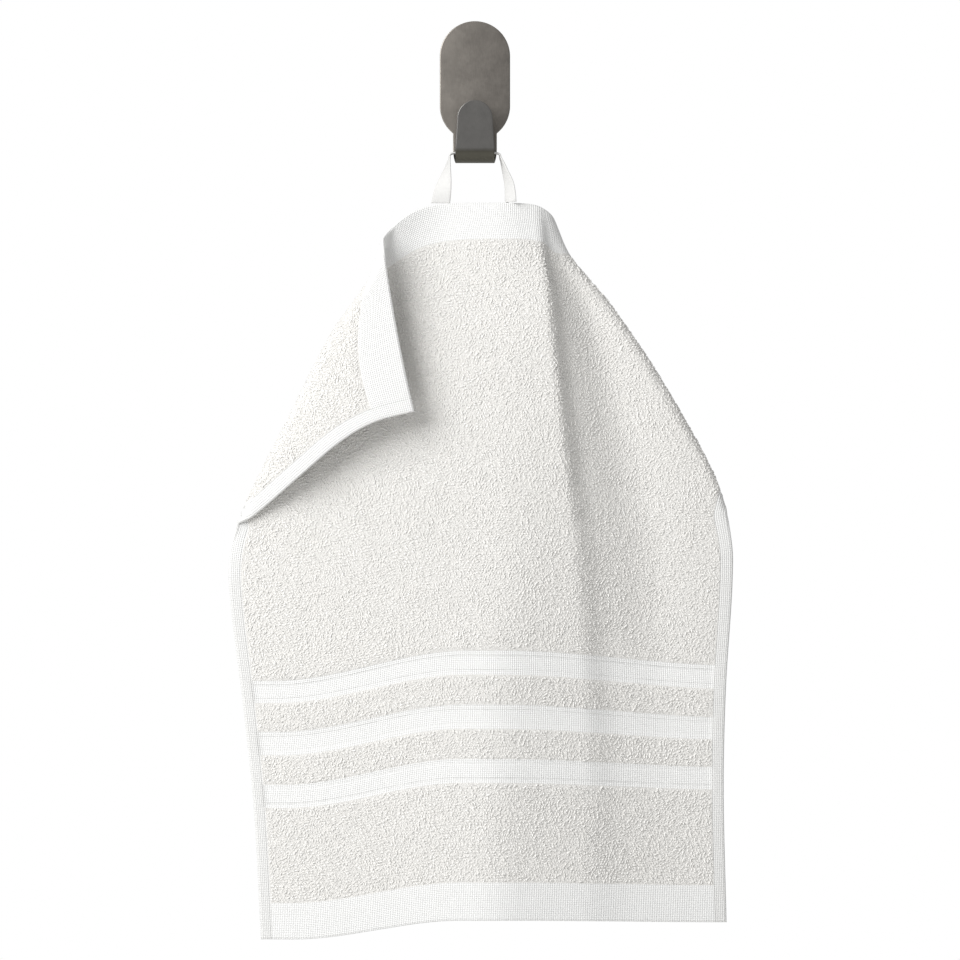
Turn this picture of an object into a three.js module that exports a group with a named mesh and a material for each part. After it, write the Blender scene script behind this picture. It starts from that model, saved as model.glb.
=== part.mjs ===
// A white terry guest towel that hangs by its tape loop on a sheet-steel wall hook.
//
// Millimetres, +Z up. The wall is the plane y = 0 and everything is in front of it, towards -Y.
// The origin is the middle of the hook plate's back face. "out" is a distance in front of the wall,
// so a point's y is -out.

import * as THREE from 'three';

// Towel cloth, flat: 325 wide and 460 long, with "across" counted from its left side and "down" from
// its top end.
const CLOTH_WIDTH = 325;
const CLOTH_LENGTH = 460;
const TERRY_THICKNESS = 3.6;
const HEM_THICKNESS = 2.6;
const BAND_THICKNESS = 2.0;
const END_HEM = 25;
const SIDE_HEM = 8.5;
const BAND_TOP = 286.5;
const BAND_HEIGHT = 16;
const BAND_PITCH = 34.5;
const BAND_COUNT = 3;
const EDGE_STEP = 1.6;
const GRID_PITCH = 9.5;
const GRID_ACROSS = 41;
const FOLD_GATHER = 3;
const FOLD_GATHER_WIDTH = 14;
const RIDGE_ACROSS = 220;
const NORMAL_STEP = 1.2;

// The two turned corners. The left one is folded to the front and the right one to the back, each
// about a slanting fold from the top end of the cloth to its side.
const LEFT_FOLD = { topAcross: 106, sideDown: 180, roll: 7, forward: 1 };
const RIGHT_FOLD = { topAcross: 228, sideDown: 190, roll: 5, forward: -1 };
const ROLL_END_SHARE = 0.3;
const ROLL_FADE = 70;
const FOLD_BLEND = 40;
const FOLD_BLEND_TOP = 0.12;
const FOLD_BLEND_TOP_DOWN = 60;

// One row for each section down the cloth. The left and right columns are its two outlines, mid is the
// height of its middle, and dip, crest, ridge, flank, valley and panel are the long soft folds between
// them.
const SECTIONS = [
  { down: 0, leftX: -58, leftZ: -100.5, midZ: -77.8, rightX: 48.7, rightZ: -87.3,
    dipX: -25, crestX: 19, ridgeX: 40, flankX: 42, valleyX: 45, panelX: 47,
    leftOut: 20, dipOut: 12, crestOut: 18, ridgeOut: 15.5, flankOut: 14.6, valleyOut: 13.8, panelOut: 13.6,
    rightOut: 13.4 },
  { down: 25, leftX: -66.5, leftZ: -127.2, midZ: -101.3, rightX: 59.5, rightZ: -111.4,
    dipX: -30, crestX: 21, ridgeX: 43, flankX: 45.5, valleyX: 51, panelX: 55,
    leftOut: 19, dipOut: 14, crestOut: 21, ridgeOut: 20, flankOut: 15.5, valleyOut: 12.5, panelOut: 12.5,
    rightOut: 13.5 },
  { down: 60, leftX: -88.6, leftZ: -159.5, midZ: -137, rightX: 86.2, rightZ: -144.3,
    dipX: -40, crestX: 24, ridgeX: 46.2, flankX: 51.5, valleyX: 68, panelX: 79,
    leftOut: 16, dipOut: 16, crestOut: 25, ridgeOut: 27.5, flankOut: 18, valleyOut: 10.5, panelOut: 13,
    rightOut: 15 },
  { down: 110, leftX: -114.6, leftZ: -210.1, midZ: -186.4, rightX: 118, rightZ: -191.8,
    dipX: -50, crestX: 27.5, ridgeX: 51.3, flankX: 57.5, valleyX: 82, panelX: 102,
    leftOut: 13, dipOut: 19, crestOut: 28, ridgeOut: 29.5, flankOut: 20.5, valleyOut: 10, panelOut: 13.5,
    rightOut: 15.5 },
  { down: 165, leftX: -143.7, leftZ: -267, midZ: -240.5, rightX: 149.3, rightZ: -248.1,
    dipX: -60, crestX: 29.5, ridgeX: 57, flankX: 65, valleyX: 96, panelX: 124,
    leftOut: 11, dipOut: 20, crestOut: 30, ridgeOut: 30, flankOut: 21.5, valleyOut: 10, panelOut: 14,
    rightOut: 15 },
  { down: 192, leftX: -153.9, leftZ: -292, midZ: -267.5, rightX: 159.2, rightZ: -275.8,
    dipX: -60, crestX: 28.5, ridgeX: 60, flankX: 69.5, valleyX: 102, panelX: 131,
    leftOut: 11, dipOut: 21, crestOut: 30, ridgeOut: 29, flankOut: 21.5, valleyOut: 10, panelOut: 13.5,
    rightOut: 14 },
  { down: 220, leftX: -155.7, leftZ: -319.6, midZ: -294.9, rightX: 163.3, rightZ: -303.8,
    dipX: -60, crestX: 27, ridgeX: 64, flankX: 75, valleyX: 108, panelX: 136,
    leftOut: 12, dipOut: 21.4, crestOut: 30, ridgeOut: 27.5, flankOut: 21, valleyOut: 10, panelOut: 12.5,
    rightOut: 13 },
  { down: 303, leftX: -146.8, leftZ: -395, midZ: -376.6, rightX: 158.9, rightZ: -386,
    dipX: -60, crestX: 17, ridgeX: 70, flankX: 84, valleyX: 114, panelX: 138,
    leftOut: 14, dipOut: 22.5, crestOut: 30.5, ridgeOut: 22.5, flankOut: 15.5, valleyOut: 10, panelOut: 10,
    rightOut: 10 },
  { down: 372, leftX: -139.9, leftZ: -461.4, midZ: -444.9, rightX: 157.6, rightZ: -450,
    dipX: -60, crestX: 14, ridgeX: 72, flankX: 90, valleyX: 116, panelX: 140,
    leftOut: 14, dipOut: 21.8, crestOut: 30.5, ridgeOut: 21, flankOut: 14.5, valleyOut: 9.5, panelOut: 8,
    rightOut: 7.5 },
  { down: 460, leftX: -135.4, leftZ: -543.7, midZ: -531, rightX: 159.5, rightZ: -533.5,
    dipX: -60, crestX: 13.5, ridgeX: 72, flankX: 94, valleyX: 118, panelX: 140,
    leftOut: 14, dipOut: 21.1, crestOut: 30, ridgeOut: 20, flankOut: 14, valleyOut: 10, panelOut: 7,
    rightOut: 5.5 },
];
const FOLD_NAMES = ['left', 'dip', 'crest', 'ridge', 'flank', 'valley', 'panel', 'right'];

// The free side of each turned corner. Run is from the fold to that side, along a row of weave, bow is
// how far the row swings past the straight line on its way, and lift is how far the side stands off.
const LEFT_FLAP = [
  { down: 0, runX: 20, runZ: -109.6, bow: -1.6, lift: 8 },
  { down: 25, runX: 4.5, runZ: -89.3, bow: -9, lift: 9 },
  { down: 60, runX: 5.1, runZ: -69, bow: -10, lift: 8.5 },
  { down: 110, runX: 4.6, runZ: -40.5, bow: -6, lift: 5 },
  { down: 165, runX: 3.2, runZ: -9.5, bow: -0.8, lift: 0.5 },
  { down: 180, runX: 0, runZ: 0, bow: 0, lift: 0 },
];
const RIGHT_FLAP = [
  { down: 0, runX: -20.2, runZ: -93.1, bow: 15, lift: 0 },
  { down: 25, runX: -15.2, runZ: -81.6, bow: 13, lift: 0 },
  { down: 60, runX: -21.2, runZ: -60.1, bow: 13, lift: 0 },
  { down: 110, runX: -18.6, runZ: -33.5, bow: 9, lift: 0 },
  { down: 165, runX: -4.4, runZ: -10.8, bow: 2.5, lift: 0 },
  { down: 190, runX: 0, runZ: 0, bow: 0, lift: 0 },
];

// How the rows of weave sag from the middle to the sides: as a late drop at the top end, and as a
// soft S lower down. Right of the ridge, the rows near the top slip down together.
const SAG_POWER_TOP = 5.5;
const SAG_POWER_LOW = 2.2;
const SAG_POWER_DOWN = 42;
const SAG_S_START = 60;
const SAG_S_END = 250;
const SAG_LEFT = { from: 0.14, reach: 0.73 };
const SAG_RIGHT = { from: 0, reach: 1 };
const SLIP_SHARE = 0.75;
const SLIP_FROM = 20;
const SLIP_TO = 40;
const SLIP_END = 110;

// Roundness of the long folds, as a half width and as a share of the nearest flat stretch.
const FOLD_SOFTNESS = 14;
const FOLD_SHARE = 0.46;
const RIDGE_SHARE = 0.22;
const PROFILE_STEPS = 60;

// Hanging tape, from its left foot in the top hem through the hook to its right foot. Turn is the
// angle of its width from straight out of the wall.
const TAPE_WIDTH = 12;
const TAPE_THICKNESS = 1;
const TAPE_STEPS = 44;
const TAPE_PATH = [
  { x: -21.8, out: 13.1, z: -77.9, turn: -86 },
  { x: -20.2, out: 12.4, z: -69, turn: -62 },
  { x: -17.8, out: 10.5, z: -57, turn: -22 },
  { x: -16.4, out: 9.3, z: -50, turn: -4 },
  { x: -14, out: 9.1, z: -46.3, turn: 0 },
  { x: 0, out: 9.1, z: -46.3, turn: 0 },
  { x: 14, out: 9.1, z: -46.3, turn: 0 },
  { x: 16.4, out: 9.3, z: -50, turn: -4 },
  { x: 19, out: 11, z: -58, turn: -16 },
  { x: 21.6, out: 14, z: -67, turn: -28 },
  { x: 22.6, out: 17.9, z: -77.5, turn: -34 },
];

// Wall hook: one strip of sheet steel, an oval plate that narrows to a neck, turns up through a
// round bend and ends in an arm with a round tip.
const STEEL = 1.6;
const PLATE_WIDTH = 44.6;
const PLATE_TOP = 38;
const PLATE_LOW_CENTRE = -15.8;
const NECK_WIDTH = 27.8;
const BEND_INSIDE = 7.5;
const HOOK_BOTTOM = -52.5;
const ARM_BEND_WIDTH = 24.8;
const ARM_TIP_WIDTH = 21;
const ARM_TIP_Z = -13.2;
const ARM_LEAN = 0.06;
const ROUND_STEPS = 9;
const BEND_STEPS = 14;
const END_SLIVER = 0.06;

const WHITE_TERRY = new THREE.MeshStandardMaterial({ color: 0xf3f1ed, roughness: 0.95, metalness: 0 });
const WHITE_TAPE = new THREE.MeshStandardMaterial({ color: 0xf6f5f2, roughness: 0.85, metalness: 0 });
const BRUSHED_STEEL = new THREE.MeshStandardMaterial({ color: 0x7b7770, roughness: 0.4, metalness: 1 });

const clampTo = (t, high) => Math.min(high, Math.max(0, t));
const clamp01 = (t) => clampTo(t, 1);
const mix = (a, b, t) => a + (b - a) * t;
const ease = (t) => clamp01(t) ** 2 * (3 - 2 * clamp01(t));
const fromWall = (x, out, z) => new THREE.Vector3(x, -out, z);

// Reads one column of a table at any value of its key, on a smooth curve through the rows.
function readColumn(rows, key, column, value) {
  const last = rows.length - 1;
  let i = 0;
  while (i < last - 1 && value > rows[i + 1][key]) i += 1;
  const span = rows[i + 1][key] - rows[i][key];
  const slope = (k) => {
    const a = Math.max(0, k - 1);
    const b = Math.min(last, k + 1);
    return (rows[b][column] - rows[a][column]) / (rows[b][key] - rows[a][key]);
  };
  const t = clamp01((value - rows[i][key]) / span);
  const h = t * t * (3 - 2 * t);
  const start = t * (1 - t) ** 2 * span * slope(i);
  const end = t * t * (t - 1) * span * slope(i + 1);
  return mix(rows[i][column], rows[i + 1][column], h) + start + end;
}

function readRow(rows, key, value) {
  const row = {};
  for (const column of Object.keys(rows[0])) row[column] = readColumn(rows, key, column, value);
  return row;
}

// The depth of one section at x: straight stretches between the long folds, with each fold rounded.
function sectionOut(stations, x) {
  let i = 0;
  while (i < stations.length - 2 && x > stations[i + 1].x) i += 1;
  const slope = (k) => (stations[k + 1].out - stations[k].out) / (stations[k + 1].x - stations[k].x);
  let out = stations[i].out + slope(i) * (x - stations[i].x);
  for (const k of [i, i + 1]) {
    if (k === 0 || k === stations.length - 1) continue;
    const before = stations[k].x - stations[k - 1].x;
    const after = stations[k + 1].x - stations[k].x;
    const share = stations[k].name === 'ridge' ? RIDGE_SHARE : FOLD_SHARE;
    const soft = Math.min(FOLD_SOFTNESS, share * before, share * after);
    const reach = soft - Math.abs(x - stations[k].x);
    if (reach > 0) out += ((slope(k) - slope(k - 1)) * reach * reach) / (4 * soft);
  }
  return out;
}

function sag(down, t, curve) {
  const power = mix(SAG_POWER_TOP, SAG_POWER_LOW, clamp01(down / SAG_POWER_DOWN));
  const s = ease((down - SAG_S_START) / (SAG_S_END - SAG_S_START));
  return mix(clamp01(t) ** power, ease((t - curve.from) / curve.reach), s);
}

// One section of the front of the cloth: its points from the left outline to the right one.
function frontSection(down) {
  const row = readRow(SECTIONS, 'down', down);
  const stations = FOLD_NAMES.map((name) => ({ name, x: row[`${name}X`], out: row[`${name}Out`] }));
  const slipHeld = ease(down / SLIP_FROM) * (1 - ease((down - SLIP_TO) / (SLIP_END - SLIP_TO)));
  const points = [];
  for (let i = 0; i <= PROFILE_STEPS; i += 1) {
    const x = mix(row.leftX, row.rightX, i / PROFILE_STEPS);
    const left = x < row.crestX;
    const t = left ? (row.crestX - x) / (row.crestX - row.leftX) : (x - row.crestX) / (row.rightX - row.crestX);
    let drop = sag(down, t, left ? SAG_LEFT : SAG_RIGHT);
    const slip = ease((x - row.ridgeX) / (row.valleyX - row.ridgeX));
    if (!left) drop = mix(drop, mix(drop, slip, SLIP_SHARE), slipHeld);
    const z = mix(row.midZ, left ? row.leftZ : row.rightZ, drop);
    points.push({ x, out: sectionOut(stations, x), z, length: 0 });
  }
  for (let i = 1; i < points.length; i += 1) {
    const a = points[i - 1];
    const b = points[i];
    b.length = a.length + Math.hypot(b.x - a.x, b.out - a.out, b.z - a.z);
  }
  return points;
}

const sectionCache = new Map();

// A point of the front at a share of the section's own length.
function frontPoint(down, share) {
  if (!sectionCache.has(down)) sectionCache.set(down, frontSection(down));
  const points = sectionCache.get(down);
  const wanted = clamp01(share) * points[points.length - 1].length;
  let i = 0;
  while (i < points.length - 2 && points[i + 1].length < wanted) i += 1;
  const a = points[i];
  const b = points[i + 1];
  const t = (wanted - a.length) / (b.length - a.length);
  return { x: mix(a.x, b.x, t), out: mix(a.out, b.out, t), z: mix(a.z, b.z, t) };
}

// Where a point of the flat cloth lies from a fold: along it from its top, and past it, with the size
// of the fold's roll there.
function fromFold(fold, across, down) {
  const sideAcross = fold.forward > 0 ? 0 : CLOTH_WIDTH;
  const run = sideAcross - fold.topAcross;
  const length = Math.hypot(run, fold.sideDown);
  const outward = Math.sign(run);
  const dx = across - fold.topAcross;
  const along = (dx * run + down * fold.sideDown) / length;
  return {
    length,
    along,
    roll: fold.roll * mix(ROLL_END_SHARE, 1, ease((length - along) / ROLL_FADE)),
    past: (outward * dx * fold.sideDown - down * Math.abs(run)) / length,
    crossing: mix(fold.topAcross, sideAcross, clamp01(down / fold.sideDown)),
    fromSide: (Math.abs(across - sideAcross) * length) / fold.sideDown,
  };
}

// The outline that a fold makes, carried on in a straight line above the top end of the cloth.
function foldOutline(fold, down) {
  const side = fold.forward > 0 ? 'left' : 'right';
  const read = (column) => {
    const value = readColumn(SECTIONS, 'down', column, Math.max(0, down));
    return value + Math.min(0, down) * (readColumn(SECTIONS, 'down', column, 1) - SECTIONS[0][column]);
  };
  return { x: read(`${side}X`), z: read(`${side}Z`) };
}

// Near a fold the front leaves its outline square to it, round the fold's roll.
function blendIntoFold(point, fold, place, flatDown) {
  const offEnd = ease((place.along - place.length) / (FOLD_BLEND / 2));
  const roll = place.roll * (1 - offEnd) + 0.01;
  const inside = place.along > place.length ? Math.min(-place.past, place.fromSide) : -place.past;
  const away = Math.max(ease(inside / FOLD_BLEND), offEnd);
  const nearness = (1 - away) * mix(FOLD_BLEND_TOP, 1, ease(flatDown / FOLD_BLEND_TOP_DOWN));
  const angle = Math.min(inside / roll, Math.PI / 2);
  point.out += fold.forward * roll * (1 - Math.sin(angle));
  if (nearness <= 0) return;
  const down = (place.along * fold.sideDown) / place.length;
  const outline = foldOutline(fold, down);
  const next = foldOutline(fold, down + 1);
  const tangent = Math.hypot(next.x - outline.x, next.z - outline.z);
  const normalX = (-fold.forward * (next.z - outline.z)) / tangent;
  const normalZ = (fold.forward * (next.x - outline.x)) / tangent;
  const rolled = roll * (1 - Math.cos(angle)) + Math.max(0, inside - (roll * Math.PI) / 2);
  point.x = mix(point.x, outline.x + normalX * rolled, nearness);
  point.z = mix(point.z, outline.z + normalZ * rolled, nearness);
}

// A point of a turned corner: past the fold, on the way to the free side.
function cornerPoint(fold, flap, across, down) {
  const place = fromFold(fold, across, down);
  const sideAcross = fold.forward > 0 ? 0 : CLOTH_WIDTH;
  const t = (across - place.crossing) / (sideAcross - place.crossing);
  const outline = foldOutline(fold, down);
  const edge = readRow(flap, 'down', down);
  const side = fold.forward > 0 ? 'left' : 'right';
  const foldOut = readColumn(SECTIONS, 'down', `${side}Out`, down) + fold.forward * place.roll;
  const angle = Math.min(place.past / place.roll, Math.PI / 2);
  return {
    x: outline.x + edge.runX * t + edge.bow * 4 * t * (1 - t),
    out: foldOut + fold.forward * place.roll * Math.sin(angle) + edge.lift * t,
    z: outline.z + edge.runZ * t,
  };
}

// The middle layer of the hanging cloth, for any point of the flat cloth.
function clothPoint(across, down) {
  const left = fromFold(LEFT_FOLD, across, down);
  const right = fromFold(RIGHT_FOLD, across, down);
  if (left.past > 0) return cornerPoint(LEFT_FOLD, LEFT_FLAP, across, down);
  if (right.past > 0) return cornerPoint(RIGHT_FOLD, RIGHT_FLAP, across, down);
  const point = frontPoint(down, (across - left.crossing) / (right.crossing - left.crossing));
  blendIntoFold(point, LEFT_FOLD, left, down);
  blendIntoFold(point, RIGHT_FOLD, right, down);
  return point;
}

// A point of the middle layer as it hangs, with the direction square to the cloth there.
function clothFrame(across, down) {
  const place = (a, d) => {
    const point = clothPoint(clampTo(a, CLOTH_WIDTH), clampTo(d, CLOTH_LENGTH));
    return fromWall(point.x, point.out, point.z);
  };
  const weft = place(across + NORMAL_STEP, down).sub(place(across - NORMAL_STEP, down));
  const warp = place(across, down + NORMAL_STEP).sub(place(across, down - NORMAL_STEP));
  return { point: place(across, down), normal: warp.cross(weft).normalize() };
}

// Terry stands proud of the flat bands, and the hems are folded and flat.
function clothThickness(across, down) {
  if (across < SIDE_HEM || across > CLOTH_WIDTH - SIDE_HEM) return HEM_THICKNESS;
  if (down < END_HEM || down > CLOTH_LENGTH - END_HEM) return HEM_THICKNESS;
  for (let band = 0; band < BAND_COUNT; band += 1) {
    const top = BAND_TOP + band * BAND_PITCH;
    if (down > top && down < top + BAND_HEIGHT) return BAND_THICKNESS;
  }
  return TERRY_THICKNESS;
}

// Grid lines down the cloth, at both sides of each hem or band edge and evenly between them.
function downLines() {
  const edges = [END_HEM];
  for (let band = 0; band < BAND_COUNT; band += 1) {
    const top = BAND_TOP + band * BAND_PITCH;
    edges.push(top, top + BAND_HEIGHT);
  }
  edges.push(CLOTH_LENGTH - END_HEM);
  const lines = [0];
  const evenTo = (end) => {
    const start = lines[lines.length - 1];
    const count = Math.max(1, Math.round((end - start) / GRID_PITCH));
    for (let i = 1; i <= count; i += 1) lines.push(mix(start, end, i / count));
  };
  for (const edge of edges) {
    evenTo(edge - EDGE_STEP / 2);
    lines.push(edge + EDGE_STEP / 2);
  }
  evenTo(CLOTH_LENGTH);
  return lines;
}

// Grid lines across the cloth in one row, gathered at the ridge and where the row crosses the folds.
function acrossLines(down) {
  const first = SIDE_HEM + EDGE_STEP / 2;
  const last = CLOTH_WIDTH - first;
  const folds = [LEFT_FOLD, RIGHT_FOLD].map((fold) => ({
    crossing: fromFold(fold, 0, down).crossing,
    weight: FOLD_GATHER * (1 - ease((down - fold.sideDown) / FOLD_BLEND)),
  }));
  folds.push({ crossing: RIDGE_ACROSS, weight: FOLD_GATHER / 2 });
  const totals = [0];
  for (let i = 1; i <= CLOTH_WIDTH; i += 1) {
    const across = mix(first, last, (i - 0.5) / CLOTH_WIDTH);
    let density = 1;
    for (const fold of folds) {
      density += fold.weight * Math.exp(-(((across - fold.crossing) / FOLD_GATHER_WIDTH) ** 2));
    }
    totals.push(totals[i - 1] + density);
  }
  const hemLine = SIDE_HEM - EDGE_STEP / 2;
  const lines = [0, hemLine / 2, hemLine];
  let i = 0;
  for (let line = 0; line <= GRID_ACROSS; line += 1) {
    const wanted = (totals[CLOTH_WIDTH] * line) / GRID_ACROSS;
    while (i < CLOTH_WIDTH - 1 && totals[i + 1] < wanted) i += 1;
    const part = (wanted - totals[i]) / (totals[i + 1] - totals[i]);
    lines.push(mix(first, last, (i + part) / CLOTH_WIDTH));
  }
  lines.push(CLOTH_WIDTH - hemLine, CLOTH_WIDTH - hemLine / 2, CLOTH_WIDTH);
  return lines;
}

// A closed sheet from a grid of front points and a grid of back points.
function sheetGeometry(front, back) {
  const rows = front.length;
  const columns = front[0].length;
  const positions = [];
  for (const side of [front, back]) {
    for (const row of side) for (const p of row) positions.push(p.x, p.y, p.z);
  }
  const at = (side, i, j) => side * rows * columns + i * columns + j;
  const triangles = [];
  const quad = (a, b, c, d) => triangles.push(a, b, c, a, c, d);
  for (let i = 0; i < rows - 1; i += 1) {
    for (let j = 0; j < columns - 1; j += 1) {
      quad(at(0, i, j), at(0, i + 1, j), at(0, i + 1, j + 1), at(0, i, j + 1));
      quad(at(1, i, j), at(1, i, j + 1), at(1, i + 1, j + 1), at(1, i + 1, j));
    }
  }
  for (let i = 0; i < rows - 1; i += 1) {
    quad(at(0, i, 0), at(1, i, 0), at(1, i + 1, 0), at(0, i + 1, 0));
    quad(at(0, i + 1, columns - 1), at(1, i + 1, columns - 1), at(1, i, columns - 1), at(0, i, columns - 1));
  }
  for (let j = 0; j < columns - 1; j += 1) {
    quad(at(0, 0, j + 1), at(1, 0, j + 1), at(1, 0, j), at(0, 0, j));
    quad(at(0, rows - 1, j), at(1, rows - 1, j), at(1, rows - 1, j + 1), at(0, rows - 1, j + 1));
  }
  const geometry = new THREE.BufferGeometry();
  geometry.setAttribute('position', new THREE.Float32BufferAttribute(positions, 3));
  geometry.setIndex(triangles);
  geometry.computeVertexNormals();
  return geometry;
}

function towelGeometry() {
  const front = [];
  const back = [];
  for (const down of downLines()) {
    const rowFront = [];
    const rowBack = [];
    for (const across of acrossLines(down)) {
      const { point, normal } = clothFrame(across, down);
      const half = clothThickness(across, down) / 2;
      rowFront.push(point.clone().addScaledVector(normal, half));
      rowBack.push(point.clone().addScaledVector(normal, -half));
    }
    front.push(rowFront);
    back.push(rowBack);
  }
  return sheetGeometry(front, back);
}

// A flat strip along a path: each station has its centre, the direction of its width, its width and
// its thickness.
function stripGeometry(stations) {
  const front = [];
  const back = [];
  stations.forEach((station, i) => {
    const before = stations[Math.max(0, i - 1)].centre;
    const after = stations[Math.min(stations.length - 1, i + 1)].centre;
    const tangent = station.tangent ?? new THREE.Vector3().subVectors(after, before).normalize();
    const normal = new THREE.Vector3().crossVectors(tangent, station.across).normalize();
    const across = new THREE.Vector3().crossVectors(normal, tangent).normalize();
    const corner = (side, face) => station.centre.clone()
      .addScaledVector(across, (side * station.width) / 2)
      .addScaledVector(normal, (face * station.thickness) / 2);
    front.push([corner(-1, 1), corner(1, 1)]);
    back.push([corner(-1, -1), corner(1, -1)]);
  });
  return sheetGeometry(front, back);
}

function tapeGeometry() {
  TAPE_PATH.forEach((row, i) => {
    row.step = i;
  });
  const stations = [];
  for (let i = 0; i <= TAPE_STEPS; i += 1) {
    const row = readRow(TAPE_PATH, 'step', (i / TAPE_STEPS) * (TAPE_PATH.length - 1));
    const turn = THREE.MathUtils.degToRad(row.turn);
    stations.push({
      centre: fromWall(row.x, row.out, row.z),
      across: new THREE.Vector3(-Math.sin(turn), -Math.cos(turn), 0),
      width: TAPE_WIDTH,
      thickness: TAPE_THICKNESS,
    });
  }
  stations[0].tangent = new THREE.Vector3(0, 0, 1);
  stations[TAPE_STEPS].tangent = new THREE.Vector3(0, 0, -1);
  return stripGeometry(stations);
}

function hookGeometry() {
  const stations = [];
  const across = new THREE.Vector3(1, 0, 0);
  const add = (out, z, width, tangent) => {
    stations.push({ centre: fromWall(0, out, z), across, width, thickness: STEEL, tangent });
  };
  const plateOut = STEEL / 2;
  const plateRadius = PLATE_WIDTH / 2;
  const downwards = new THREE.Vector3(0, 0, -1);
  for (let i = 0; i <= ROUND_STEPS; i += 1) {
    const angle = mix(END_SLIVER, Math.PI / 2, i / ROUND_STEPS);
    add(plateOut, PLATE_TOP - plateRadius * (1 - Math.cos(angle)), PLATE_WIDTH * Math.sin(angle), downwards);
  }
  const neckAngle = Math.acos(NECK_WIDTH / PLATE_WIDTH);
  for (let i = 0; i <= ROUND_STEPS; i += 1) {
    const angle = mix(0, neckAngle, i / ROUND_STEPS);
    add(plateOut, PLATE_LOW_CENTRE - plateRadius * Math.sin(angle), PLATE_WIDTH * Math.cos(angle), downwards);
  }
  const bendMiddle = BEND_INSIDE + STEEL / 2;
  const bendOut = STEEL + BEND_INSIDE;
  const bendZ = HOOK_BOTTOM + STEEL + BEND_INSIDE;
  const bendEnd = Math.PI - ARM_LEAN;
  for (let i = 0; i <= BEND_STEPS; i += 1) {
    const angle = mix(0, bendEnd, i / BEND_STEPS);
    const tangent = new THREE.Vector3(0, -Math.sin(angle), -Math.cos(angle));
    const width = mix(NECK_WIDTH, ARM_BEND_WIDTH, ease(i / BEND_STEPS));
    add(bendOut - bendMiddle * Math.cos(angle), bendZ - bendMiddle * Math.sin(angle), width, tangent);
  }
  const armStart = { out: bendOut - bendMiddle * Math.cos(bendEnd), z: bendZ - bendMiddle * Math.sin(bendEnd) };
  const armLength = (ARM_TIP_Z - armStart.z) / Math.cos(ARM_LEAN);
  const armTangent = new THREE.Vector3(0, -Math.sin(ARM_LEAN), Math.cos(ARM_LEAN));
  const tipRadius = ARM_TIP_WIDTH / 2;
  for (let i = 0; i <= ROUND_STEPS; i += 1) {
    const angle = mix(Math.PI / 2, END_SLIVER, i / ROUND_STEPS);
    const reach = armLength - tipRadius * (1 - Math.cos(angle));
    const width = ARM_TIP_WIDTH * Math.sin(angle);
    add(armStart.out + reach * Math.sin(ARM_LEAN), armStart.z + reach * Math.cos(ARM_LEAN), width, armTangent);
  }
  return stripGeometry(stations);
}

function piece(name, geometry, material) {
  const mesh = new THREE.Mesh(geometry, material);
  mesh.name = name;
  return mesh;
}

const towelOnHook = new THREE.Group();
towelOnHook.add(piece('wall_hook', hookGeometry(), BRUSHED_STEEL));
towelOnHook.add(piece('hanging_tape', tapeGeometry(), WHITE_TAPE));
towelOnHook.add(piece('towel', towelGeometry(), WHITE_TERRY));

export default towelOnHook;
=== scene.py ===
import math

import bpy
import numpy as np
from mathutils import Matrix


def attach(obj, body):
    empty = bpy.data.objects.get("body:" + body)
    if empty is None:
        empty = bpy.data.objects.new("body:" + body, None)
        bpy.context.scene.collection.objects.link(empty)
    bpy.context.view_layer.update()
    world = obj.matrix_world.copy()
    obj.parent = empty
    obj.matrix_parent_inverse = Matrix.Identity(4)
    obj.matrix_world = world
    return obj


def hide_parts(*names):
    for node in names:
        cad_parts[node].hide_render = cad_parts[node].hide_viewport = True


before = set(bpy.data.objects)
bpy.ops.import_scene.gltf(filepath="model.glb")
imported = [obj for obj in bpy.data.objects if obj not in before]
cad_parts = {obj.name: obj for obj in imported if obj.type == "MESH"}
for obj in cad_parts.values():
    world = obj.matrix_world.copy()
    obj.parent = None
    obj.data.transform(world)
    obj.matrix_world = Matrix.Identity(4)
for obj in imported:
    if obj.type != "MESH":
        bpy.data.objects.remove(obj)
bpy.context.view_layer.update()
scene = bpy.context.scene

# A white terry guest towel that hangs by its tape loop on a sheet-steel wall hook. The wall is the
# plane y = 0. Sizes are in millimetres up to the point where a mesh is made. "Across" and "down" are
# counted on the flat cloth, from its left side and its top end, and "out" is the distance in front
# of the wall.
MM = 0.001
MM_IN_METRE = 1000.0
TINY = 1e-9
SEED = 7

CLOTH_WIDTH = 325.0
CLOTH_LENGTH = 460.0
END_HEM = 25.0
SIDE_HEM = 8.5
BAND_TOP = 286.5
BAND_HEIGHT = 16.0
BAND_PITCH = 34.5
BAND_COUNT = 3
GROUND_THICKNESS = 2.4
HEM_THICKNESS = 2.6
BAND_THICKNESS = 1.9
RIM_ROUNDING = 1.3
RIM_THINNEST = 0.02
SIDE_SEAM_INSET = 1.4
SIDE_SEAM_HALF = 0.7
END_SEAM_INSET = 1.6
END_SEAM_HALF = 0.8
SEAM_DEPTH = 0.3

# Lines of the cloth's mesh: close at the rim and beside each step of thickness, even elsewhere
GRID_PITCH = 2.6
RIM_LINES = (0.0, 0.12, 0.45, 1.0)
RIM_END = 1.8
BESIDE_STEP = 0.35

# The two turned corners: each fold runs from the top end to a side, and rolls forward or back
FOLD_BLEND = 40.0
FOLD_BLEND_TOP = 0.12
FOLD_BLEND_TOP_DOWN = 60.0
ROLL_END_SHARE = 0.3
ROLL_FADE = 70.0
ROLL_LEAST = 0.01
LEFT_FOLD = {
    "side": "left",
    "forward": 1,
    "top_across": 106.0,
    "side_across": 0.0,
    "side_down": 180.0,
    "roll": 7.0,
}
RIGHT_FOLD = {
    "side": "right",
    "forward": -1,
    "top_across": 228.0,
    "side_across": CLOTH_WIDTH,
    "side_down": 190.0,
    "roll": 5.0,
}


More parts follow.
